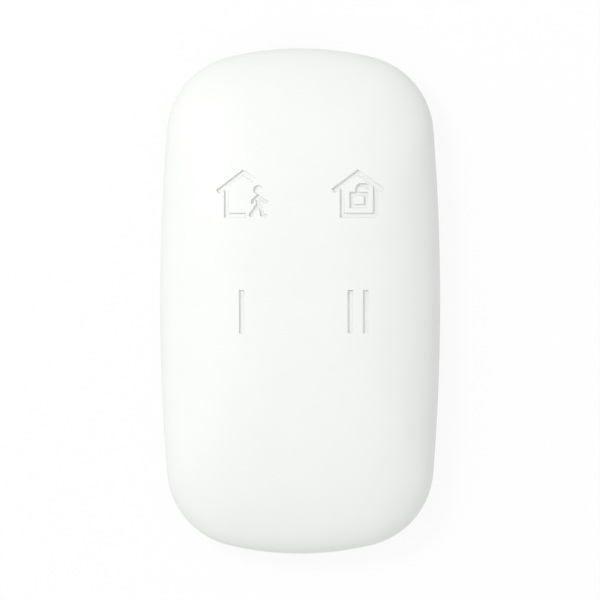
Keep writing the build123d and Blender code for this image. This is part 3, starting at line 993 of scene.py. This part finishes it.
@dataclass
class Skin:
    """Seamless soft skin that gives way over each key.

    Args:
        crown: The form that it covers.
        thickness: Its thickness.
        flex_start: Distance from a key's middle where the pieces round it start.
        flex_end: Distance inside which it moves with the key.
        sides: Number of pieces round a key.
        side_steps: Points along each of them.
        flex_rows: Rows across each of them.
        pitch: Spacing of the face's points.
        border_gap: Least distance of those points from the border, in spacings.
        hole_gap: Least distance of those points from the keys, in spacings.
        border_skip: Every so many points of the border are looked at for that.
        rim_steps: Points round the rim.
        rim_share: Where the steep border begins, as a share of the outline.
        rim_rows: Rows down the border.
        lip: Radius of the rounded lower edge.
        wall_pitch: Spacing of a key's points on the wall of its sunk sign.
        near_pitch: Spacing beside that wall.
        far_pitch: Spacing in the plain parts.
        wall_margin: How far the finest points reach past the wall, outside it and inside it.
        near_margin: How far from the wall the next ones start, outside it and inside it.
        near_end: How far from the sign they end.
        far_start: How far from the sign the widest ones start.
        edge_gap: Least distance of a key's points from its edge.
        overlap: Half width of their grids, as a share of flex_end.
        slope_step: Step over which the sign's slope is measured.
    """

    crown: Crown
    thickness: float = 0.85
    flex_start: float = 5.95
    flex_end: float = 4.95
    sides: int = 16
    side_steps: int = 5
    flex_rows: int = 4
    pitch: float = 0.6
    border_gap: float = 0.5
    hole_gap: float = 0.4
    border_skip: int = 4
    rim_steps: int = 480
    rim_share: float = 0.9
    rim_rows: int = 16
    lip: float = 0.2
    wall_pitch: float = 0.036
    near_pitch: float = 0.16
    far_pitch: float = 0.4
    wall_margin: Pair = (0.05, 0.06)
    near_margin: Pair = (0.1, 0.12)
    near_end: float = 0.6
    far_start: float = 0.75
    edge_gap: float = 0.06
    overlap: float = 1.1
    slope_step: float = 0.004
    quick_share: float = 2.0

    def build(self) -> None:
        """Make all the pieces of the skin."""
        self.field()
        for key in Key:
            self.disc(key)
            for side in range(self.sides):
                self.flexure(key, side)

    def corner(self, apothem: float, number: float) -> Array:
        """A corner of the many-sided ring round a key, seen from the key's middle."""
        turn = 2 * math.pi * number / self.sides
        return apothem / math.cos(math.pi / self.sides) * np.array((math.cos(turn), math.sin(turn)))

    def side_points(self, apothem: float, side: int, steps: Array) -> Array:
        """Points along a side of that ring, at the given shares of its length."""
        first, second = self.corner(apothem, side), self.corner(apothem, side + 1)
        return first + steps[:, None] * (second - first)

    def ring(self, key: Key, apothem: float) -> Array:
        """Run round a key.

        Args:
            key: The key.
            apothem: Distance of the ring's sides from the key's middle.

        Returns:
            The ring's points.
        """
        steps = np.arange(self.side_steps) / self.side_steps
        sides = [self.side_points(apothem, side, steps) for side in range(self.sides)]
        return key.place + np.concatenate(sides)

    def on_face(self, flat: Array) -> Array:
        """Lift flat points onto the face."""
        return np.column_stack((flat, self.crown.height(flat)))

    def border(self) -> tuple[list[Array], list[Array]]:
        """Run down the steep border to the rim.

        Returns:
            Rows of points, and the directions that the light sees there.
        """
        turns = self.crown.rim(self.rim_steps)
        aims = np.stack((np.cos(turns), np.sin(turns)), axis=1)
        start = math.acos(self.rim_share ** (self.crown.power / 2))
        rows, normals = [], []
        for row in range(self.rim_rows + 1):
            climb = start * (1 - row / self.rim_rows)
            share = np.full(len(turns), math.cos(climb) ** (2 / self.crown.power))
            flat = aims * (share * self.crown.reach(turns, share))[:, None]
            level = self.crown.base + (self.crown.top - self.crown.base) * math.sin(climb)
            rows.append(np.column_stack((flat, np.full(len(turns), level))))
            normals.append(self.crown.normals(flat))
        return rows, normals

    def face(self, border: Array) -> tuple[Array, Faces]:
        """Fill the border, but for a hole round each key.

        Args:
            border: Flat points round it.

        Returns:
            Flat points, and the triangles between them.
        """
        holes = [self.ring(key, self.flex_start) for key in Key]
        loose = hex_grid(self.crown.half_width, self.crown.half_length, self.pitch)
        away = np.min([plate(*hole)(loose) for hole in holes], axis=0)
        inside = plate(*border[:: self.border_skip])(loose) < -self.pitch * self.border_gap
        return triangulate([border, *holes], loose[inside & (away > self.pitch * self.hole_gap)])

    def rounded_edge(self, rim: Array, outward: Array) -> tuple[list[Array], list[Array]]:
        """Run round the lower edge, from the rim inwards.

        Args:
            rim: Points of the rim.
            outward: The directions that they look in.

        Returns:
            Rows of points, and the directions that the light sees there.
        """
        rows, normals = [], []
        for turn in ROUNDING:
            inset = self.lip * (1 - math.cos(turn))
            rows.append(rim - outward * inset - UP * (self.lip * math.sin(turn)))
            normals.append(outward * math.cos(turn) - UP * math.sin(turn))
        rows.append(rim - outward * self.thickness - UP * self.lip)
        normals.append(np.tile((0.0, 0.0, -1.0), (len(rim), 1)))
        return rows, normals

    def field(self) -> None:
        """Make the skin round the keys, down to its lip."""
        rows, row_normals = self.border()
        border = rows[0][:, :2]
        flat, faces = self.face(border)
        rings = [find_points(border, flat), *ring_numbers(len(flat), self.rim_steps, self.rim_rows)]
        faces += bands(rings)
        top = np.concatenate((self.on_face(flat), *rows[1:]))
        aims = np.concatenate((self.crown.normals(flat), *row_normals[1:]))
        rim, count = rings[-1], len(top)
        walls = [(b, a, a + count, b + count) for a, b in loose_edges(faces) if min(a, b) < rim[0]]
        edge_rows, edge_normals = self.rounded_edge(top[rim], aims[rim])
        edge_rings = ring_numbers(2 * count, self.rim_steps, len(edge_rows))
        walls += bands([rim, *edge_rings, rim + count])
        points = np.concatenate((top, top - aims * self.thickness, *edge_rows))
        normals = np.concatenate((aims, -aims, *edge_normals))
        piece = make_piece("skin_field", points, faces + turned(faces, count) + walls, normals)
        rest_on(piece, "housing", SOFT_SKIN, "front_skin")

    def disc_points(self, sign: Sign) -> Array:
        """Spread loose points over a key, closest together on the wall of its sign.

        Args:
            sign: The sign.

        Returns:
            The points, from the key's middle.
        """
        half = self.flex_end * self.overlap
        wall_pitch = self.wall_pitch * 1.0
        pitches = (wall_pitch, self.near_pitch, self.far_pitch)
        fine, near, far = (hex_grid(half, half, pitch) for pitch in pitches)
        fine_reach, near_reach = sign.distance(fine), sign.distance(near)
        brink, foot = sign.lip, sign.lip - sign.wall
        on_wall = (fine_reach < brink + self.wall_margin[0]) & (fine_reach > foot - self.wall_margin[1])
        off_wall = (near_reach > brink + self.near_margin[0]) | (near_reach < foot - self.near_margin[1])
        beside = off_wall & (near_reach < self.near_end)
        return np.concatenate((fine[on_wall], near[beside], far[sign.distance(far) > self.far_start]))

    def disc(self, key: Key) -> None:
        """Make the part of the skin that moves with a key, with its sunk sign.

        Args:
            key: The key.
        """
        sign = SIGNS[key]
        border = self.ring(key, self.flex_end)
        loose = self.disc_points(sign)
        inside = plate(*(border - key.place))(loose) < -self.edge_gap
        flat, faces = triangulate([border], loose[inside] + key.place)
        local = flat - key.place
        plain, points = self.crown.normals(flat), self.on_face(flat)
        fall = np.stack((*slopes(sign.sink, local, self.slope_step), np.zeros(len(flat))), axis=1)
        tilted = unit(plain / plain[:, 2:3] + fall)
        sunk = points - UP * sign.sink(local)[:, None]
        under = points - plain * self.thickness
        piece = close_sheet(f"skin_pad_{key.word}", sunk, under, faces, (tilted, -plain))
        rest_on(piece, key.body, SOFT_SKIN, f"key_pad_{key.word}")

    def flexure(self, key: Key, side: int) -> None:
        """Make one of the pieces between the housing and a key, tied to neither.

        Args:
            key: The key.
            side: Which side of the ring.
        """
        steps = np.linspace(0, 1, self.side_steps + 1)
        grid = []
        for row in range(self.flex_rows + 1):
            apothem = self.flex_start + row / self.flex_rows * (self.flex_end - self.flex_start)
            grid.append(self.side_points(apothem, side, steps))
        flat = key.place + np.concatenate(grid)
        wide = self.side_steps + 1
        starts = [row * wide + i for row in range(self.flex_rows) for i in range(self.side_steps)]
        faces = [(start, start + 1, start + wide + 1, start + wide) for start in starts]
        plain, points = self.crown.normals(flat), self.on_face(flat)
        under = points - plain * self.thickness
        piece = close_sheet(f"skin_flex_{key.word}_{side}", points, under, faces, (plain, -plain))
        rest_on(piece, "", SOFT_SKIN)
        turn = 2 * math.pi * (side + 0.5) / self.sides
        aim = np.array((math.cos(turn), math.sin(turn)))
        ends = ((*(key.place + aim * reach), self.crown.top) for reach in (self.flex_start, self.flex_end))
        bend(piece, key, *ends)


@dataclass
class Screws:
    """Pan-head screws with a cross drive, their heads sunk in the back.

    Args:
        places: Their axes.
        head_radius: Radius of the head.
        head_height: Height of the head.
        sunk: Distance of the head from the back.
        shank_radius: Radius of the shank.
        tip: Height of the shank's tip.
        tip_inset: How much narrower the tip is.
        drive_half: Half of the width of the cross.
        drive_reach: Half of the length of the cross.
        drive_depth: Depth of the cross.
        drive_wall: Width of its sloping wall.
        drive_lip: How far the wall's rounding reaches outside it.
        edge: Rounding of the head's outer face.
        small_edge: Bevel of the head's inner face.
        thread_gap: Plain length at both ends of the shank.
        thread_pitch: Distance from one groove to the next.
        thread_depth: Depth of a groove.
        thread_rise: Height of the upper side of a groove.
        first_turn: How far the first screw's cross is turned, in degrees.
        next_turn: How much further each next one is turned, in degrees.
        edge_gap: Least distance of the points on the head from their border.
        pitch: Spacing of those points.
        steps: Points round a screw.
    """

    places: tuple[Pair, ...] = ((-12.2, 25.5), (12.2, 25.5), (-13.6, -8.2), (13.6, -8.2))
    head_radius: float = 1.5
    head_height: float = 0.9
    sunk: float = 0.3
    shank_radius: float = 0.78
    tip: float = 8.4
    tip_inset: float = 0.2
    drive_half: float = 0.16
    drive_reach: float = 0.85
    drive_depth: float = 0.5
    drive_wall: float = 0.14
    drive_lip: float = 0.02
    edge: float = 0.22
    small_edge: float = 0.05
    thread_gap: float = 0.3
    thread_pitch: float = 0.35
    thread_depth: float = 0.13
    thread_rise: float = 0.12
    first_turn: float = 17.0
    next_turn: float = 41.0
    edge_gap: float = 0.05
    pitch: float = 0.07
    steps: int = 48

    def build(self) -> None:
        """Make all the screws as one piece."""
        points, faces, start = [], [], 0
        for number, (x, y) in enumerate(self.places):
            one, one_faces = self.screw(math.radians(self.first_turn + self.next_turn * number))
            points.append(one + np.array((x, y, 0)))
            faces += [tuple(i + start for i in face) for face in one_faces]
            start += len(one)
        piece = make_piece("case_screws", np.concatenate(points), faces)
        rest_on(piece, "housing", SCREW_STEEL, "housing_screws")

    def screw(self, turn: float) -> tuple[Array, Faces]:
        """Shape one screw about the z axis.

        Args:
            turn: How far its cross is turned, in radians.

        Returns:
            Its points and faces.
        """
        flat_radius = self.head_radius - self.edge
        border = revolved([(flat_radius, 0.0)], self.steps)[0][:, :2]
        loose = hex_grid(flat_radius, flat_radius, self.pitch)
        loose = loose[np.linalg.norm(loose, axis=1) < flat_radius - self.edge_gap]
        flat, faces = triangulate([border], loose)
        top = np.column_stack((flat, self.sunk + self.cross(turn).sink(flat)))
        rows = [
            (flat_radius + self.edge * math.sin(angle), self.sunk + self.edge * (1 - math.cos(angle)))
            for angle in ROUNDING
        ]
        inner = self.sunk + self.head_height
        rows += [(self.head_radius, inner - self.small_edge), (self.head_radius - self.small_edge, inner)]
        rows += self.thread(inner)
        rings = [find_points(border, flat), *ring_numbers(len(flat), self.steps, len(rows))]
        tip = tuple(int(i) for i in rings[-1])
        points = np.concatenate([top, *revolved(rows, self.steps)])
        return points, [*turned(faces), *turned(bands(rings)), tip]

    def thread(self, start: float) -> list[Pair]:
        """Run down the shank, whose rings stand for its thread.

        Args:
            start: Height where the shank starts.

        Returns:
            A radius and a height for each row.
        """
        rows, level = [(self.shank_radius, start)], start + self.thread_gap
        while level < self.tip - self.thread_gap:
            rows.append((self.shank_radius - self.thread_depth, level))
            rows.append((self.shank_radius, level + self.thread_rise))
            level += self.thread_pitch
        return rows + [(self.shank_radius - self.tip_inset, self.tip)]

    def cross(self, turn: float) -> Sign:
        """Shape the drive.

        Args:
            turn: How far its cross is turned, in radians.

        Returns:
            The cross as a sunk sign.
        """
        reach, half = self.drive_reach, self.drive_half
        arms = []
        for extra in (0, math.pi / 2):
            ux, uy = math.cos(turn + extra), math.sin(turn + extra)
            ends = ((-reach, half), (-reach, -half), (reach, -half), (reach, half))
            arms.append(plate(*((ux * far - uy * side, uy * far + ux * side) for far, side in ends)))
        return Sign(tuple(arms), depth=self.drive_depth, wall=self.drive_wall, lip=self.drive_lip)


@dataclass
class RearHousing:
    """Rear shell, door, seals and lanyard pin.

    Args:
        finishes: CAD nodes of the back and their finishes.
    """

    finishes: dict[str, Finish] = field(default_factory=lambda: {
        "rear_shell": REAR_PLASTIC,
        "battery_door": REAR_PLASTIC,
        "door_seal": SEAL_RUBBER,
        "seam_seal": SEAL_RUBBER,
        "lanyard_bar": PIN_STEEL,
    })

    def build(self) -> None:
        """Dress the nodes of the back."""
        for node, finish in self.finishes.items():
            dress(node, finish)


@dataclass
class Inside:
    """Everything between the frame and the battery door, but for the snap domes.

    Args:
        finishes: CAD nodes of the inside and their finishes.
    """

    finishes: dict[str, Finish] = field(default_factory=lambda: {
        "front_frame": FRAME_PLASTIC,
        "circuit_board": LAMINATE,
        "switch_bodies": SWITCH_PLASTIC,
        "coin_cell": CELL_STEEL,
        "contact_negative": CONTACT_METAL,
        "contact_positive": CONTACT_METAL,
        "radio_shield": SHIELD_TIN,
        "radio_chip": CHIP_PLASTIC,
        "controller_chip": CHIP_PLASTIC,
        "crystal": SHIELD_TIN,
        "supply_capacitor": CAPACITOR,
        "small_components": CERAMIC,
        "loop_antenna": ANTENNA_COPPER,
    })

    def build(self) -> None:
        """Dress the nodes of the inside, and each key's own parts."""
        for node, finish in self.finishes.items():
            dress(node, finish)
        for key in Key:
            dress(f"plunger_{key.word}", PLUNGER_PLASTIC)
            dress(f"switch_stem_{key.word}", STEM_PLASTIC)


@dataclass
class SnapDomes:
    """Thin domes under the switch stems.

    Args:
        foot: Height of the chamber floor that they stand on.
        radius: Radius of a dome's foot.
        rise: Height of its middle over its foot.
        thickness: Thickness of its sheet.
        rows: Number of steps from the middle to the foot.
        steps: Number of steps round it.
    """

    foot: float = 7.1
    radius: float = 1.9
    rise: float = 0.5
    thickness: float = 0.1
    rows: int = 8
    steps: int = 32

    def build(self) -> None:
        """Make a dome for each key, in place of its CAD dome."""
        points, faces = self.sheet()
        for key in Key:
            piece = make_piece(f"snap_dome_{key.word}", points + (*key.place, self.foot), faces)
            rest_on(piece, "", CONTACT_METAL, f"switch_dome_{key.word}")
            bend(piece, key, (*key.place, self.foot), (*key.place, self.foot + self.rise))

    def sheet(self) -> tuple[Array, Faces]:
        """Shape one dome over the origin.

        Returns:
            Its points and faces.
        """
        outer = (self.radius**2 + self.rise**2) / (2 * self.rise)
        centre = self.rise - outer
        rows = []
        for sphere in (outer, outer - self.thickness):
            reach = math.acos(-centre / sphere)
            turns = np.linspace(reach / self.rows, reach, self.rows)
            rows += [(sphere * math.sin(turn), centre + sphere * math.cos(turn)) for turn in turns]
        rings = ring_numbers(0, self.steps, len(rows))
        rings = rings[: self.rows] + rings[: self.rows - 1 : -1]
        caps = [tuple(map(int, rings[0])), tuple(map(int, rings[-1][::-1]))]
        return np.concatenate(revolved(rows, self.steps)), caps + bands(rings)


@dataclass(frozen=True)
class Panel:
    """A large bright panel standing beside the fob.

    Args:
        aim: Direction towards its middle.
        edge: Cosine of the angle at which it fades out.
        strength: Light that it adds at its middle.
    """

    aim: Triple
    edge: float
    strength: float


@dataclass
class Studio:
    """Floor, light and camera.

    Args:
        field: Width of the picture at the fob, in metres.
        distance: Camera's height over the fob's seam, in metres.
        seam: Height of that seam, in metres.
        middle: Point under the middle of the picture, in metres.
        sensor: Width of the camera's sensor, in millimetres.
        sight: Nearest and furthest distance that the camera sees, in metres.
        sky: Strength of the even light.
        sky_lean: What it gains along each axis.
        panel: Bright panel at the upper left.
        lamp_power: Power of the soft lamp at the upper left, in watts.
        lamp_place: Its place, in metres.
        lamp_size: Its side, in metres.
        floor_half: Half of the floor's side, in metres.
        floor_plain: Colour that the floor throws back at the fob.
        floor_shadow: Colour on which the camera sees the fob's shadow.
        floor_glow: Share of the floor's white that doesn't depend on light.
    """

    field: float = 0.08314
    distance: float = 1.5
    seam: float = 0.005
    middle: Pair = (-0.00003, 0.00014)
    sensor: float = 36.0
    sight: Pair = (0.01, 20.0)
    sky: float = 0.698
    sky_lean: Triple = (0.155, -0.135, 0.0)
    panel: Panel = Panel((-0.93, 0.36, 0.05), 0.3, 0.6)
    lamp_power: float = 1.46
    lamp_place: Triple = (-0.292, 0.22, 0.574)
    lamp_size: float = 0.16
    floor_half: float = 4.0
    floor_plain: float = 0.7
    floor_shadow: float = 0.11
    floor_glow: float = 0.88

    def build(self) -> None:
        """Set up everything that isn't the object."""
        self.floor()
        self.world()
        self.lamp()
        self.camera()
        bpy.context.scene.view_settings.view_transform = "Standard"

    @staticmethod
    def seen(wiring: Wiring) -> Socket:
        """Tell what is seen from what only lights.

        Args:
            wiring: The wiring that asks.

        Returns:
            A socket that is 1 for rays from the camera, a mirror or glass.
        """
        path = wiring.add("ShaderNodeLightPath").outputs
        both = wiring.maths("MAXIMUM", path["Is Camera Ray"], path["Is Glossy Ray"])
        return wiring.maths("MAXIMUM", both, path["Is Transmission Ray"])

    def floor(self) -> None:
        """Make a pale floor that keeps a faint shadow."""
        material = bpy.data.materials.new("pale_floor")
        wiring = Wiring.afresh(material)
        plain, tone = (
            wiring.add("ShaderNodeBsdfDiffuse", {"Color": (grey, grey, grey, 1.0)})
            for grey in (self.floor_plain, self.floor_shadow)
        )
        glow = wiring.add("ShaderNodeEmission", {"Color": WHITE, "Strength": self.floor_glow})
        both = wiring.add("ShaderNodeAddShader", {0: tone.outputs[0], 1: glow.outputs[0]})
        inputs = {0: self.seen(wiring), 1: plain.outputs[0], 2: both.outputs[0]}
        mixed = wiring.add("ShaderNodeMixShader", inputs)
        wiring.add("ShaderNodeOutputMaterial", {"Surface": mixed.outputs[0]})
        half = self.floor_half / MM
        corners = np.array([(-half, -half, 0.0), (half, -half, 0.0), (half, half, 0.0), (-half, half, 0.0)])
        floor = make_piece("studio_floor", corners, [(0, 1, 2, 3)])
        floor.data.materials.append(material)
        LOG.info("studio_floor: stage")

    def world(self) -> None:
        """Light everything evenly, on a white background."""
        world = bpy.data.worlds.new("studio")
        wiring = Wiring.afresh(world)
        aim = wiring.add("ShaderNodeTexCoord").outputs["Generated"]
        lean, near = (
            wiring.add("ShaderNodeVectorMath", {0: aim, 1: side}, operation="DOT_PRODUCT").outputs["Value"]
            for side in (self.sky_lean, self.panel.aim)
        )
        gain = wiring.ramp(near, self.panel.edge, 1.0, 0.0, self.panel.strength)
        light = wiring.maths("ADD", wiring.maths("ADD", lean, self.sky), gain)
        strength = wiring.mix(self.seen(wiring), light, 1.0, kind="FLOAT")
        back = wiring.add("ShaderNodeBackground", {"Color": WHITE, "Strength": strength})
        wiring.add("ShaderNodeOutputWorld", {"Surface": back.outputs[0]})
        bpy.context.scene.world = world

    def lamp(self) -> None:
        """Hang one soft square lamp at the upper left."""
        data = bpy.data.lights.new("soft_lamp", "AREA")
        data.energy = self.lamp_power
        data.size = self.lamp_size
        lamp = bpy.data.objects.new("soft_lamp", data)
        lamp.location = self.lamp_place
        lamp.rotation_euler = (-Vector(self.lamp_place)).to_track_quat("-Z", "Y").to_euler()
        bpy.context.scene.collection.objects.link(lamp)

    def camera(self) -> None:
        """Look straight down on the face with a long lens."""
        data = bpy.data.cameras.new("camera")
        data.sensor_width = self.sensor
        data.lens = data.sensor_width * self.distance / self.field
        data.clip_start, data.clip_end = self.sight
        camera = bpy.data.objects.new("camera", data)
        camera.location = (*self.middle, self.distance + self.seam)
        bpy.context.scene.collection.objects.link(camera)
        bpy.context.scene.camera = camera


def main() -> None:
    """Build the fob's looks, piece by piece."""
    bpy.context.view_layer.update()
    Skin(Crown()).build()
    RearHousing().build()
    Screws().build()
    Inside().build()
    SnapDomes().build()
    Studio().build()
    LOG.info("all pieces built")


if __name__ == "__main__":
    logging.basicConfig(level=logging.INFO, format="%(name)s: %(message)s")
    main()
